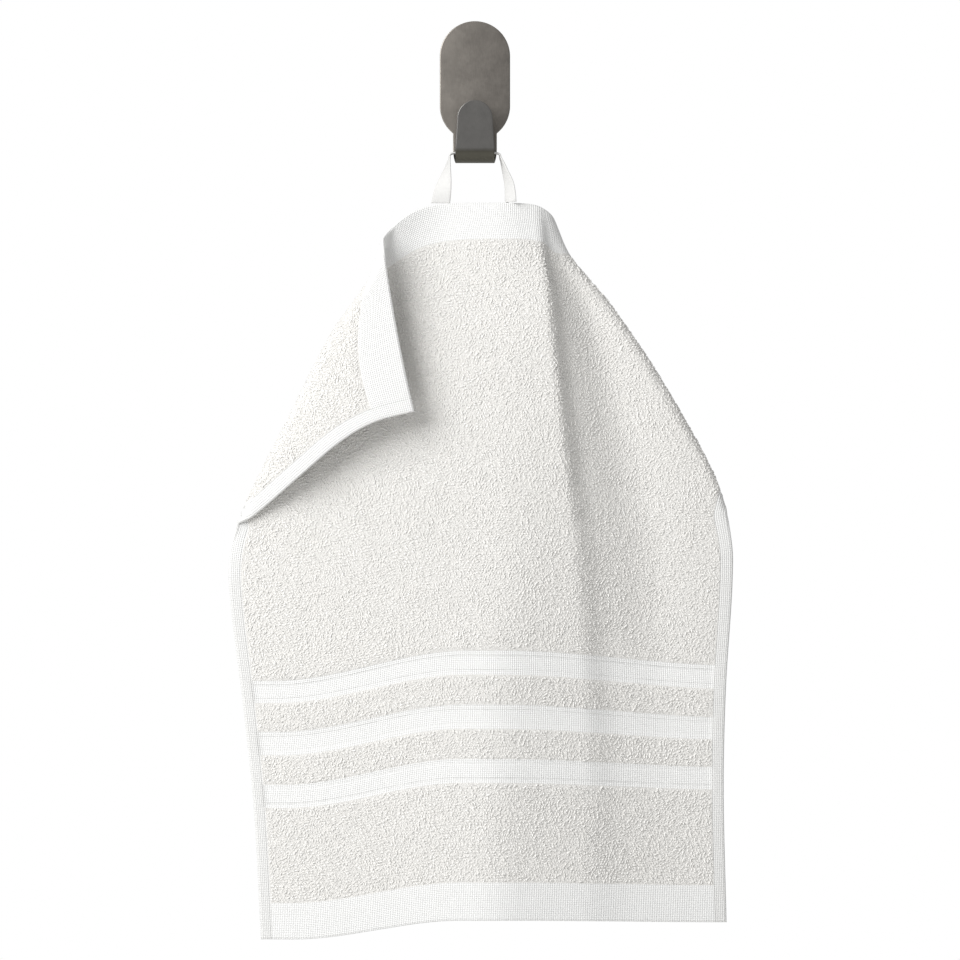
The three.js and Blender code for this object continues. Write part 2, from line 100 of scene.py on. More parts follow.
def table(names, *rows):
    """A table with named columns, as one array for each column."""
    return {name: np.array(column, float) for name, column in zip(names.split(), zip(*rows))}


# The hanging cloth at ten heights of the flat one: where its sides and its long soft folds lie, with
# the height of its middle and of both sides. The stations run from left to right.
STATIONS = ("left", "dip", "crest", "ridge", "flank", "valley", "panel", "right")
SECTIONS = table(
    "down left_x left_z mid_z right_x right_z dip_x crest_x ridge_x flank_x valley_x panel_x"
    " left_out dip_out crest_out ridge_out flank_out valley_out panel_out right_out",
    (0, -58, -100.5, -77.8, 48.7, -87.3, -25, 19, 40, 42, 45, 47,
     20, 12, 18, 15.5, 14.6, 13.8, 13.6, 13.4),
    (25, -66.5, -127.2, -101.3, 59.5, -111.4, -30, 21, 43, 45.5, 51, 55,
     19, 14, 21, 20, 15.5, 12.5, 12.5, 13.5),
    (60, -88.6, -159.5, -137, 86.2, -144.3, -40, 24, 46.2, 51.5, 68, 79,
     16, 16, 25, 27.5, 18, 10.5, 13, 15),
    (110, -114.6, -210.1, -186.4, 118, -191.8, -50, 27.5, 51.3, 57.5, 82, 102,
     13, 19, 28, 29.5, 20.5, 10, 13.5, 15.5),
    (165, -143.7, -267, -240.5, 149.3, -248.1, -60, 29.5, 57, 65, 96, 124,
     11, 20, 30, 30, 21.5, 10, 14, 15),
    (192, -153.9, -292, -267.5, 159.2, -275.8, -60, 28.5, 60, 69.5, 102, 131,
     11, 21, 30, 29, 21.5, 10, 13.5, 14),
    (220, -155.7, -319.6, -294.9, 163.3, -303.8, -60, 27, 64, 75, 108, 136,
     12, 21.4, 30, 27.5, 21, 10, 12.5, 13),
    (303, -146.8, -395, -376.6, 158.9, -386, -60, 17, 70, 84, 114, 138,
     14, 22.5, 30.5, 22.5, 15.5, 10, 10, 10),
    (372, -139.9, -461.4, -444.9, 157.6, -450, -60, 14, 72, 90, 116, 140,
     14, 21.8, 30.5, 21, 14.5, 9.5, 8, 7.5),
    (460, -135.4, -543.7, -531, 159.5, -533.5, -60, 13.5, 72, 94, 118, 140,
     14, 21.1, 30, 20, 14, 10, 7, 5.5),
)

# The free edge of each turned corner, counted from its fold
LEFT_FLAP = table(
    "down run_x run_z bow lift",
    (0, 20, -109.6, -1.6, 8),
    (25, 4.5, -89.3, -9, 9),
    (60, 5.1, -69, -10, 8.5),
    (110, 4.6, -40.5, -6, 5),
    (165, 3.2, -9.5, -0.8, 0.5),
    (180, 0, 0, 0, 0),
)
RIGHT_FLAP = table(
    "down run_x run_z bow lift",
    (0, -20.2, -93.1, 15, 0),
    (25, -15.2, -81.6, 13, 0),
    (60, -21.2, -60.1, 13, 0),
    (110, -18.6, -33.5, 9, 0),
    (165, -4.4, -10.8, 2.5, 0),
    (190, 0, 0, 0, 0),
)

# How a row of weave drops from the crest to each side: late and steeply near the top of the cloth,
# and evenly lower down
SAG_POWER_TOP = 5.5
SAG_POWER_LOW = 2.2
SAG_POWER_DOWN = 42.0
SAG_EVEN_START = 60.0
SAG_EVEN_END = 250.0
SAG_LEFT = {"start": 0.14, "reach": 0.73}
SAG_RIGHT = {"start": 0.0, "reach": 1.0}

# Between ridge and valley the weave slips down along the fold
SLIP_SHARE = 0.75
SLIP_FROM = 20.0
SLIP_TO = 40.0
SLIP_END = 110.0

# How softly each long fold is rounded, at most and as a share of the stretch beside it
FOLD_SOFTNESS = 14.0
RIDGE_SHARE = 0.22
FOLD_SHARE = 0.46
PROFILE_STEPS = 160

# Pile
PILE_PITCH = 1.8
PILE_PITCH_BEHIND = 3.1
PILE_SCATTER = 0.28
PILE_FROM_LEFT_HEM = 0.9
PILE_FROM_RIGHT_HEM = 0.8
PILE_OFF_HEM = 0.6
PILE_OFF_BAND = 0.7
PILE_OVER_FOLD = 2.0
LOOP_WIDTH = 1.55
LOOP_HEIGHT = 1.65
LOOP_YARN = 0.5
LOOP_SUNK = 0.65
LOOP_PAST_HALF = 0.5
LOOP_RAISED = 0.1
LOOP_LEAN = 0.7
LOOP_STRAY_TURN = 0.8
LOOP_SIZE_SPREAD = 0.2
LOOP_STEPS = 4
YARN_SIDES = 3
FLOW_WAVES = 14
FLOW_LONGEST = 80.0
FLOW_SHORTEST = 22.0
FLOW_SWING = 1.1

# Sewing and tape
STITCH_PITCH = 3.0
STITCH_LENGTH = 2.3
STITCH_FIRST = 4.0
STITCH_LAST = 3.0
STITCH_OUT_SHARE = 0.36
STITCH_SUNK = 1.2
STITCH_RAISED = 0.9
STITCH_HANDLE = 0.3
THREAD_RADIUS = 0.26
THREAD_STEPS = 4
THREAD_SIDES = 4
TAPE_WIDTH = 12.0
TAPE_THICKNESS = 1.0
TAPE_STEPS = 120
TAPE_SECTION = table(
    "side half",
    (-1, 0.25),
    (-0.985, 0.6),
    (-0.94, 0.9),
    (-0.8, 1),
    (-0.4, 1),
    (0, 1),
    (0.4, 1),
    (0.8, 1),
    (0.94, 0.9),
    (0.985, 0.6),
    (1, 0.25),
)
TAPE_PATH = table(
    "down x out z turn",
    (0, -21.8, 12.9, -78, -86),
    (1, -20.2, 12.3, -69, -62),
    (2, -17.8, 10.6, -57, -22),
    (3, -16.4, 9.3, -50, -4),
    (4, -14, 9.1, -46.3, 0),
    (5, 0, 9.1, -46.3, 0),
    (6, 14, 9.1, -46.3, 0),
    (7, 16.4, 9.3, -50, -4),
    (8, 19, 11, -58, -16),
    (9, 21.6, 14, -67, -28),
    (10, 22.6, 17.9, -77.5, -34),
)

# Wall hook
STEEL = 1.6
STEEL_EDGE = 0.45
STEEL_EDGE_INSET = 0.5
STEEL_EDGE_STEPS = 4
PLATE_WIDTH = 44.6
PLATE_TOP = 38.0
PLATE_LOW_CENTRE = -15.8
NECK_WIDTH = 27.8
BEND_INSIDE = 7.5
HOOK_BOTTOM = -52.5
ARM_BEND_WIDTH = 24.8
ARM_TIP_WIDTH = 22.2
ARM_TIP_Z = -13.2
ARM_LEAN = 0.06
ARM_NARROWING = 1.8
ROUND_START = 0.06
TOP_STEPS = 28
NECK_STEPS = 20
BEND_STEPS = 40
TIP_STEPS = 24

# Colours
COTTON = (0.955, 0.955, 0.945, 1.0)
# The darker cotton colour is painted shade, for the weave's sunk dots, grooves and seam lines, the
# lower side hems and the hollows of the thread's twist.
COTTON_PAINTED_SHADE = (0.79, 0.785, 0.77, 1.0)
TERRY = (0.97, 0.96, 0.938, 1.0)
TERRY_SHADE = (0.87, 0.855, 0.825, 1.0)
# The gap colour is painted shade between the loops of the pile.
TERRY_GAP_PAINTED_SHADE = (0.8, 0.78, 0.745, 1.0)
TAPE_LIGHT = (0.86, 0.855, 0.845, 1.0)
# The tape's darker colour is painted shade in the hollows of its weave.
TAPE_RIB_PAINTED_SHADE = (0.7, 0.695, 0.68, 1.0)
PLATE_LIGHT = (0.455, 0.42, 0.379, 1.0)
PLATE_DARK = (0.168, 0.155, 0.141, 1.0)
# The arm's colours are a darker, painted-shade copy of the plate's steel.
ARM_PAINTED_SHADE_LIGHT = (0.312, 0.303, 0.29, 1.0)
ARM_PAINTED_SHADE_DARK = (0.14, 0.138, 0.134, 1.0)
# The bend's dark colour is painted shade on the underside of the hook.
BEND_PAINTED_SHADE = (0.085, 0.08, 0.06, 1.0)
FLOOR_GREY = (0.88, 0.88, 0.87, 1.0)

# Weave of hems and bands, and of the tape
DIAMOND_ACROSS = 2.5
DIAMOND_DOWN = 2.4
GROOVE_INSET = 3.4
GROOVE_HALF = 0.45
SEAM_LINE_PAST = 0.9
SEAM_LINE_SHARP = 1.8
# Where the painted shade on the side hems begins, and how far down it takes to come in fully
SIDE_HEM_SHADE_START = 170.0
SIDE_HEM_SHADE_REACH = 50.0
TAPE_RIB = 1.1
TAPE_PICK = 0.8

# Where the steel's colour turns to the arm's painted shade, and then to the bend's darker painted
# shade
ARM_SHADE_FROM_OUT = 7.0
ARM_SHADE_RATE = 0.16
BEND_SHADE_FROM_LOW = 43.0
BEND_SHADE_RATE = 0.4

# Studio, in metres
FLOOR_HALF = 2.2
FLOOR_Z = -0.95
KEY_PLACE = (-1.64, -1.58, 0.85)
KEY_AIM = (0.0, 0.0, -0.25)
KEY_SIZE = 1.9
KEY_POWER = 57.5
SURROUND_SEEN = 1.0
SURROUND_ABOVE = 0.51
SURROUND_BELOW = 0.24
CAMERA_X = 0.0032
CAMERA_Z = -0.2532
CAMERA_DISTANCE = 4.0
PICTURE_DEPTH = 0.012
PICTURE_WIDTH = 0.6076
SENSOR_WIDTH = 36.0


# Shape of the hanging cloth


def mix(a, b, t):
    return a + (b - a) * t


def clamp(t):
    return np.clip(t, 0.0, 1.0)


def ease(t):
    t = clamp(t)
    return t * t * (3 - 2 * t)


def read(rows, column, value):
    """Reads one column of a table at any value of its first one, on a smooth curve."""
    keys, values = rows["down"], rows[column]
    last = len(keys) - 1
    i = np.clip(np.searchsorted(keys, value) - 1, 0, last - 1)
    span = keys[i + 1] - keys[i]

    def slope(k):
        a, b = np.maximum(0, k - 1), np.minimum(last, k + 1)
        return (values[b] - values[a]) / (keys[b] - keys[a])

    t = clamp((value - keys[i]) / span)
    start = t * (1 - t) ** 2 * span * slope(i)
    end = t * t * (t - 1) * span * slope(i + 1)
    return mix(values[i], values[i + 1], ease(t)) + start + end


def section_out(station_x, station_out, x):
    """The depth of one section: straight stretches between the long folds, each fold rounded."""
    slope = np.diff(station_out) / np.diff(station_x)
    out = np.interp(x, station_x, station_out)
    for k in range(1, len(station_x) - 1):
        before, after = station_x[k] - station_x[k - 1], station_x[k + 1] - station_x[k]
        fold_share = RIDGE_SHARE if STATIONS[k] == "ridge" else FOLD_SHARE
        soft = min(FOLD_SOFTNESS, fold_share * before, fold_share * after)
        reach = np.maximum(0, soft - np.abs(x - station_x[k]))
        out = out + (slope[k] - slope[k - 1]) * reach * reach / (4 * soft)
    return out


def sag(down, t, curve):
    """How far a row of weave has dropped at a share of the way from the crest to one side."""
    power = mix(SAG_POWER_TOP, SAG_POWER_LOW, clamp(down / SAG_POWER_DOWN))
    even = ease((down - SAG_EVEN_START) / (SAG_EVEN_END - SAG_EVEN_START))
    return mix(clamp(t) ** power, ease((t - curve["start"]) / curve["reach"]), even)


def front_row(down, share):
    """Points of the front in one section, at shares of its own length."""
    row = {name: float(read(SECTIONS, name, down)) for name in SECTIONS}
    station_x = np.array([row[name + "_x"] for name in STATIONS])
    station_out = np.array([row[name + "_out"] for name in STATIONS])
    x = np.linspace(row["left_x"], row["right_x"], PROFILE_STEPS + 1)
    left = x < row["crest_x"]
    to_left = (row["crest_x"] - x) / (row["crest_x"] - row["left_x"])
    to_right = (x - row["crest_x"]) / (row["right_x"] - row["crest_x"])
    side_z = np.where(left, row["left_z"], row["right_z"])
    drop = np.where(left, sag(down, to_left, SAG_LEFT), sag(down, to_right, SAG_RIGHT))
    slip = ease((x - row["ridge_x"]) / (row["valley_x"] - row["ridge_x"]))
    slipped = SLIP_SHARE * slip + (1 - SLIP_SHARE) * drop
    held = ease(down / SLIP_FROM) * (1 - ease((down - SLIP_TO) / (SLIP_END - SLIP_TO)))
    drop = np.where(left, drop, mix(drop, slipped, held))
    z = mix(row["mid_z"], side_z, drop)
    out = section_out(station_x, station_out, x)
    step = np.sqrt(np.diff(x) ** 2 + np.diff(out) ** 2 + np.diff(z) ** 2)
    length = np.concatenate(([0.0], np.cumsum(step)))
    wanted = clamp(share) * length[-1]
    return [np.interp(wanted, length, values) for values in (x, out, z)]


def from_fold(fold, across, down):
    """The fold's length, where a point lies along and past it, and its crossing and roll there."""
    run = fold["side_across"] - fold["top_across"]
    length = math.hypot(run, fold["side_down"])
    dx = across - fold["top_across"]
    along = (dx * run + down * fold["side_down"]) / length
    past = (math.copysign(1, run) * dx * fold["side_down"] - down * abs(run)) / length
    crossing = mix(fold["top_across"], fold["side_across"], clamp(down / fold["side_down"]))
    roll = fold["roll"] * mix(ROLL_END_SHARE, 1.0, ease((length - along) / ROLL_FADE))
    return length, along, past, crossing, roll


def fold_outline(fold, down):
    """The outline that a fold makes, as x and z, carried on in a straight line above the cloth."""
    found = []
    for column in (fold["side"] + "_x", fold["side"] + "_z"):
        step = read(SECTIONS, column, 1.0) - SECTIONS[column][0]
        value = read(SECTIONS, column, np.maximum(0.0, down))
        found.append(value + np.minimum(0.0, down) * step)
    return found


def blend_into_fold(x, out, z, fold, across, down):
    """Near a fold the front leaves its outline square to it, round the fold's roll."""
    length, along, past, _, roll = from_fold(fold, across, down)
    off_end = ease((along - length) / (FOLD_BLEND / 2))
    roll = roll * (1 - off_end) + ROLL_LEAST
    from_side = np.abs(across - fold["side_across"]) * length / fold["side_down"]
    inside = np.where(along > length, np.minimum(-past, from_side), -past)
    near = np.maximum(0, 1 - np.maximum(ease(inside / FOLD_BLEND), off_end))
    near = near * mix(FOLD_BLEND_TOP, 1.0, ease(down / FOLD_BLEND_TOP_DOWN))
    angle = np.clip(inside / roll, 0, math.pi / 2)
    out = out + fold["forward"] * roll * (1 - np.sin(angle))
    at = along * fold["side_down"] / length
    outline_x, outline_z = fold_outline(fold, at)
    next_x, next_z = fold_outline(fold, at + 1)
    tangent = np.hypot(next_x - outline_x, next_z - outline_z)
    normal_x = -fold["forward"] * (next_z - outline_z) / tangent
    normal_z = fold["forward"] * (next_x - outline_x) / tangent
    rolled = roll * (1 - np.cos(angle))
    rolled = rolled + np.maximum(0, inside - roll * math.pi / 2)
    x = mix(x, outline_x + normal_x * rolled, near)
    z = mix(z, outline_z + normal_z * rolled, near)
    return x, out, z


def corner_points(fold, flap, across, down):
    """Points of a turned corner: past the fold, on the way to the free side."""
    _, _, past, crossing, roll = from_fold(fold, across, down)
    t = clamp((across - crossing) / (fold["side_across"] - crossing + TINY))
    outline_x, outline_z = fold_outline(fold, down)
    fold_out = read(SECTIONS, fold["side"] + "_out", down) + fold["forward"] * roll
    angle = np.clip(past / roll, 0, math.pi / 2)
    x = outline_x + read(flap, "run_x", down) * t + read(flap, "bow", down) * 4 * t * (1 - t)
    out = fold_out + fold["forward"] * roll * np.sin(angle) + read(flap, "lift", down) * t
    z = outline_z + read(flap, "run_z", down) * t
    return x, out, z


def cloth_points(across, down):
    """The middle layer of the cloth on a grid, as x, y and z."""
    flat_a, flat_d = np.meshgrid(across, down)
    _, _, left_past, left_crossing, _ = from_fold(LEFT_FOLD, flat_a, flat_d)
    _, _, right_past, right_crossing, _ = from_fold(RIGHT_FOLD, flat_a, flat_d)
    share = (flat_a - left_crossing) / (right_crossing - left_crossing)
    front = [front_row(row_down, row_share) for row_down, row_share in zip(down, share)]
    x, out, z = (np.array([row[k] for row in front]) for k in range(3))
    for fold in (LEFT_FOLD, RIGHT_FOLD):
        x, out, z = blend_into_fold(x, out, z, fold, flat_a, flat_d)
    corners = ((LEFT_FOLD, LEFT_FLAP, left_past), (RIGHT_FOLD, RIGHT_FLAP, right_past))
    for fold, flap, past in corners:
        corner = corner_points(fold, flap, flat_a, flat_d)
        x, out, z = (np.where(past > 0, c, v) for c, v in zip(corner, (x, out, z)))
    return np.stack((x, -out, z), axis=-1)


def unit(vectors):
    return vectors / np.maximum(TINY, np.linalg.norm(vectors, axis=-1, keepdims=True))


class HangingCloth:
    """The middle layer on a 1 mm grid of the flat cloth, read anywhere between its lines."""

    def __init__(self):
        across = np.linspace(0, CLOTH_WIDTH, int(CLOTH_WIDTH) + 1)
        down = np.linspace(0, CLOTH_LENGTH, int(CLOTH_LENGTH) + 1)
        self.points = cloth_points(across, down)
        weft = np.gradient(self.points, axis=1)
        warp = np.gradient(self.points, axis=0)
        self.normals = unit(np.cross(warp, weft))
        self.weft = unit(weft)
        self.warp = unit(warp)

    def between(self, grid, across, down):
        """A grid's value at places between its lines."""
        a = np.clip(across, 0, CLOTH_WIDTH - 1e-6)
        d = np.clip(down, 0, CLOTH_LENGTH - 1e-6)
        j, i = a.astype(int), d.astype(int)
        ta, td = (a - j)[..., None], (d - i)[..., None]
        top = mix(grid[i, j], grid[i, j + 1], ta)
        low = mix(grid[i + 1, j], grid[i + 1, j + 1], ta)
        return mix(top, low, td)

    def point(self, across, down):
        return self.between(self.points, across, down)

    def normal(self, across, down):
        return unit(self.between(self.normals, across, down))

    def along_weft(self, across, down):
        return unit(self.between(self.weft, across, down))

    def along_warp(self, across, down):
        return unit(self.between(self.warp, across, down))


cloth = HangingCloth()


# Meshes


def finish_mesh(name, vertices, faces, smooth=True):
    mesh = bpy.data.meshes.new(name)
    mesh.from_pydata([tuple(v) for v in vertices], [], faces)
    mesh.validate()
    mesh.update()
    if smooth:
        mesh.shade_smooth()
    piece = bpy.data.objects.new(name, mesh)
    scene.collection.objects.link(piece)
    return piece


def sheet_mesh(name, front, back, flat):
    """A closed sheet from a grid of front points and one of back points, with flat places as UV."""
    rows, columns = front.shape[:2]
    count = rows * columns
    index = np.arange(count).reshape(rows, columns)
    a, b = index[:-1, :-1], index[1:, :-1]
    c, d = index[1:, 1:], index[:-1, 1:]
    faces = [np.stack((a, b, c, d), -1).reshape(-1, 4)]
    faces.append(np.stack((a, d, c, b), -1).reshape(-1, 4) + count)
    left, right = index[:, 0], index[:, -1]
    top, low = index[0], index[-1]
    sides = ((left[:-1], left[1:]), (right[1:], right[:-1]))
    ends = ((top[1:], top[:-1]), (low[:-1], low[1:]))
    for start, end in sides + ends:
        faces.append(np.stack((start, start + count, end + count, end), -1))
    faces = np.concatenate(faces)
    vertices = np.concatenate((front.reshape(-1, 3), back.reshape(-1, 3))) * MM
    piece = finish_mesh(name, vertices, faces.tolist())
    places = np.concatenate((flat.reshape(-1, 2), flat.reshape(-1, 2))) * MM
    layer = piece.data.uv_layers.new(name="Flat")
    corners = np.empty(len(piece.data.loops), dtype=np.int32)
    piece.data.loops.foreach_get("vertex_index", corners)
    layer.data.foreach_set("uv", places[corners].astype(np.float32).ravel())
    return piece


def band_edges():
    """The top and bottom edge of each flat band, from the top one down."""
    tops = [BAND_TOP + band * BAND_PITCH for band in range(BAND_COUNT)]
    return [edge for top in tops for edge in (top, top + BAND_HEIGHT)]


def in_band(down):
    edges = band_edges()
    found = np.zeros(np.shape(down), bool)
    for top, low in zip(edges[::2], edges[1::2]):
        found |= (down > top) & (down < low)
    return found


def in_hem(across, down):
    side = (across < SIDE_HEM) | (across > CLOTH_WIDTH - SIDE_HEM)
    return side | (down < END_HEM) | (down > CLOTH_LENGTH - END_HEM)


def spaced_lines(length, edges):
    """Grid lines: close at the rim, at both sides of each edge, and even between them."""
    stops = [RIM_END]
    for edge in edges:
        stops += [edge - BESIDE_STEP, edge + BESIDE_STEP]
    stops.append(length - RIM_END)
    lines = list(RIM_LINES)
    for start, end in zip(stops[:-1], stops[1:]):
        count = max(1, round((end - start) / GRID_PITCH))
        lines += [mix(start, end, i / count) for i in range(count)]
    lines.append(stops[-1])
    lines += [length - value for value in reversed(RIM_LINES)]
    return np.array(lines)


# Node building: a class for maths on sockets and one for all other nodes


class Signal:
    """A socket of a node tree, with Python's operators as its Math nodes."""

    def __init__(self, build, socket):
        self.build = build
        self.socket = socket

    def maths(self, operation, *others):
        node = self.build.node("ShaderNodeMath", operation=operation)
        for i, value in enumerate((self, *others)):
            self.build.join(value, node.inputs[i])
        return Signal(self.build, node.outputs[0])

    def __add__(self, other):
        return self.maths("ADD", other)

    def __sub__(self, other):
        return self.maths("SUBTRACT", other)

    def __mul__(self, other):
        return self.maths("MULTIPLY", other)

    def __rsub__(self, other):
        flipped = self.build.node("ShaderNodeMath", operation="SUBTRACT")
        self.build.join(other, flipped.inputs[0])
        self.build.join(self, flipped.inputs[1])
        return Signal(self.build, flipped.outputs[0])

    __radd__ = __add__
    __rmul__ = __mul__

    def sine(self):
        return self.maths("SINE")

    def absolute(self):
        return self.maths("ABSOLUTE")

    def above(self, limit):
        return self.maths("GREATER_THAN", limit)

    def to_power(self, power):
        return self.maths("POWER", power)

    def at_most(self, limit):
        return self.maths("MINIMUM", limit)

    def at_least(self, limit):
        return self.maths("MAXIMUM", limit)

    def to_share(self):
        """The value held between 0 and 1."""
        return self.at_least(0.0).at_most(1.0)


class NodeBuild:
    def __init__(self, tree):
        self.tree = tree
        tree.nodes.clear()

    def node(self, kind, **settings):
        made = self.tree.nodes.new(kind)
        for name, value in settings.items():
            setattr(made, name, value)
        return made

    def join(self, value, socket):
        if isinstance(value, Signal):
            self.tree.links.new(value.socket, socket)
        elif isinstance(value, bpy.types.NodeSocket):
            self.tree.links.new(value, socket)
        else:
            socket.default_value = value

    def add(self, kind, output=0, inputs=None, **settings):
        """A node with its settings and the values or links of its sockets, as one of its outputs."""
        made = self.node(kind, **settings)
        for name, value in (inputs or {}).items():
            self.join(value, made.inputs[name])
        return Signal(self, made.outputs[output])

    def blend(self, factor, first, second):
        """A mix of two colours."""
        made = self.node("ShaderNodeMix", data_type="RGBA")
        sockets = [s for s in made.inputs if s.enabled]
        for socket, value in zip(sockets, (factor, first, second)):
            self.join(value, socket)
        return Signal(self, next(s for s in made.outputs if s.enabled))

    def noise(self, place, scale, detail=2.0, rough=0.5, distortion=0.0):
        inputs = {
            "Vector": place,
            "Scale": scale,
            "Detail": detail,
            "Roughness": rough,
            "Distortion": distortion,
        }
        return self.add("ShaderNodeTexNoise", inputs=inputs)

    def bump(self, height, strength, distance):
        inputs = {"Height": height, "Strength": strength, "Distance": distance}
        return self.add("ShaderNodeBump", inputs=inputs)

    def parts(self, vector):
        """The x, y and z of a vector."""
        split = self.node("ShaderNodeSeparateXYZ")
        self.join(vector, split.inputs[0])
        return [Signal(self, output) for output in split.outputs]


def new_material(name):
    material = bpy.data.materials.new(name)
    material.use_nodes = True
    return material, NodeBuild(material.node_tree)


def finish_material(build, shader_inputs):
    shader = build.node("ShaderNodeBsdfPrincipled")
    for name, value in shader_inputs.items():
        build.join(value, shader.inputs[name])
    output = build.node("ShaderNodeOutputMaterial")
    build.join(shader.outputs[0], output.inputs["Surface"])


def flat_place(build):
    """Across and down on the flat cloth, in millimetres."""
    across, down, _ = build.parts(build.add("ShaderNodeTexCoord", output="UV"))
    return across * MM_IN_METRE, down * MM_IN_METRE


def solid_place(build):
    return build.add("ShaderNodeTexCoord", output="Object")


def stripes(place, pitch):
    """A wave between -1 and 1 that comes back at each pitch."""
    return (place * (2 * math.pi / pitch)).sine()


def band_grooves(down):
    """1 along the fine sunk lines that run near both edges of each band, else 0."""
    groove = 0.0
    for i, edge in enumerate(band_edges()):
        into = GROOVE_INSET if i % 2 == 0 else -GROOVE_INSET
        groove += 1.0 - ((down - (edge + into)).absolute() * (1 / GROOVE_HALF)).at_most(1.0)
    return groove


def birdseye_cloth():
    """The flat weave of hems and bands: small diamonds with a sunk dot in each, with painted shade
    that darkens the dots, the grooves near the band edges, the seam lines and the lower part of the
    side hems.
    """
    material, build = new_material("birdseye_cotton")
    across, down = flat_place(build)
    step_across = across * (2 * math.pi / DIAMOND_ACROSS)
    step_down = down * (2 * math.pi / DIAMOND_DOWN)
    diamonds = (step_across + step_down).sine() * (step_across - step_down).sine()
    dots = (diamonds * -1.0).at_least(0.0).to_power(1.5)
    place = solid_place(build)
    uneven = build.noise(place, 160.0, 3.0)
    groove_unevenness = build.noise(place, 60.0, 2.0)
    from_middle = (across - CLOTH_WIDTH / 2).absolute()
    hem_from_middle = CLOTH_WIDTH / 2 - SIDE_HEM
    side_hem = from_middle.above(hem_from_middle)
    groove = band_grooves(down) * (1.0 - side_hem) * groove_unevenness
    off_seam = (from_middle - (hem_from_middle + SEAM_LINE_PAST)).absolute()
    seam_line = 1.0 - (off_seam * SEAM_LINE_SHARP).at_most(1.0)
    # Painted shade on the side hems, coming in over their lower part.
    shaded_low_side = (down * (1 / SIDE_HEM_SHADE_REACH) - SIDE_HEM_SHADE_START / SIDE_HEM_SHADE_REACH).to_share()
    height = diamonds * 0.55 + uneven * 0.6 - groove * 1.2 - seam_line * 0.4
    # Painted shade: the colour darkens in the sunk dots, in the grooves near the band edges, along
    # the seam line, and on the lower part of the side hems.
    painted_shade = dots * 0.4 + groove * 0.45 + seam_line * 0.1 + side_hem * shaded_low_side * 0.5
    finish_material(build, {
        "Base Color": build.blend(painted_shade.at_most(1.0), COTTON, COTTON_PAINTED_SHADE),
        "Roughness": 0.9,
        "Sheen Weight": 0.1,
        "Specular IOR Level": 0.25,
        "Normal": build.bump(height, 0.9, 0.0004),
    })
    return material


def ground_cloth():
    """The cloth between the loops of the pile, with the small curls that lie in it, darkened by
    painted shade where the curls sink, for the shade between the loops.
    """
    material, build = new_material("terry_ground_cotton")
    curls = build.noise(solid_place(build), 750.0, distortion=1.6)
    finish_material(build, {
        "Base Color": build.blend(curls, TERRY_GAP_PAINTED_SHADE, TERRY),
        "Roughness": 0.95,
        "Specular IOR Level": 0.15,
        "Normal": build.bump(curls, 0.9, 0.0011),
    })
    return material


def pile_cotton():
    """The yarn of the loops: off-white, a little uneven, with its fine twist."""
    material, build = new_material("terry_pile_cotton")
    place = solid_place(build)
    patches = build.noise(place, 45.0, 3.0)
    single = build.noise(place, 800.0, 1.0)
    twist = build.noise(place, 2600.0, 1.0)
    finish_material(build, {
        "Base Color": build.blend(patches * 0.35 + single * 0.35, TERRY, TERRY_SHADE),
        "Roughness": 0.95,
        "Sheen Weight": 0.12,
        "Specular IOR Level": 0.15,
        "Normal": build.bump(twist, 0.4, 0.0003),
    })
    return material


def tape_cotton():
    """Narrow woven tape, with fine ribs along it, and painted shade that darkens the hollows of its
    ribs and picks.
    """
    material, build = new_material("woven_tape_cotton")
    across, down = flat_place(build)
    ribs = stripes(across, TAPE_RIB)
    picks = stripes(down, TAPE_PICK)
    height = ribs * 0.35 + picks * 0.3 + ribs * picks * 0.35
    finish_material(build, {
        "Base Color": build.blend(height * 0.3 + 0.3, TAPE_RIB_PAINTED_SHADE, TAPE_LIGHT),
        "Roughness": 0.85,
        "Normal": build.bump(height, 0.5, 0.0002),
    })
    return material


def thread_cotton():
    material, build = new_material("sewing_thread")
    twist = build.noise(solid_place(build), 2500.0, 1.0)
    # Painted shade: the thread's colour darkens in the hollows of its twist.
    finish_material(build, {
        "Base Color": build.blend(twist, COTTON_PAINTED_SHADE, COTTON),
        "Roughness": 0.7,
        "Normal": build.bump(twist, 0.4, 0.0002),
    })
    return material


def brushed_steel():
    """Sheet steel with fine upright brush marks and clouds of wear, with painted light that makes
    the plate lighter on its left, and painted shade that makes the arm darker and the bend darker
    still.
    """
    material, build = new_material("brushed_steel")
    place = solid_place(build)
    x, y, z = (part * MM_IN_METRE for part in build.parts(place))
    stretched = build.add("ShaderNodeMapping", inputs={"Vector": place, "Scale": (6.0, 6.0, 0.35)})
    grain = build.noise(stretched, 900.0, 3.0, 0.6)
    clouds = build.noise(place, 55.0, 4.0, 0.6)
    specks = build.noise(place, 420.0, 2.0, 0.7)
    # Brush grain, clouds of wear and specks, plus painted light: the fall with x makes the plate
    # lighter on its left, towards the key lamp, and darker to the right.
    plate_tone_and_painted_light = grain * 0.35 + clouds * 0.6 + specks * 0.2 - x * 0.012 - 0.05
    plate = build.blend(plate_tone_and_painted_light, PLATE_DARK, PLATE_LIGHT)
    arm_tone = grain * 0.35 + clouds * 0.5 + specks * 0.15
    # Painted shade: the arm is the plate's steel made darker, taking over once the steel stands out
    # from the wall.
    arm = build.blend(arm_tone, ARM_PAINTED_SHADE_DARK, ARM_PAINTED_SHADE_LIGHT)
    forward = ((y * -1.0 - ARM_SHADE_FROM_OUT) * ARM_SHADE_RATE).to_share()
    # Painted shade: the steel grows darker still towards the bottom of the bend.
    low = ((z * -1.0 - BEND_SHADE_FROM_LOW) * BEND_SHADE_RATE).to_share()
    finish_material(build, {
        "Base Color": build.blend(low * 0.85, build.blend(forward, plate, arm), BEND_PAINTED_SHADE),
        "Metallic": 1.0,
        "Roughness": grain * 0.12 + clouds * 0.16 + 0.24,
        "Normal": build.bump(grain, 0.12, 0.00008),
    })
    return material


# Terry towel


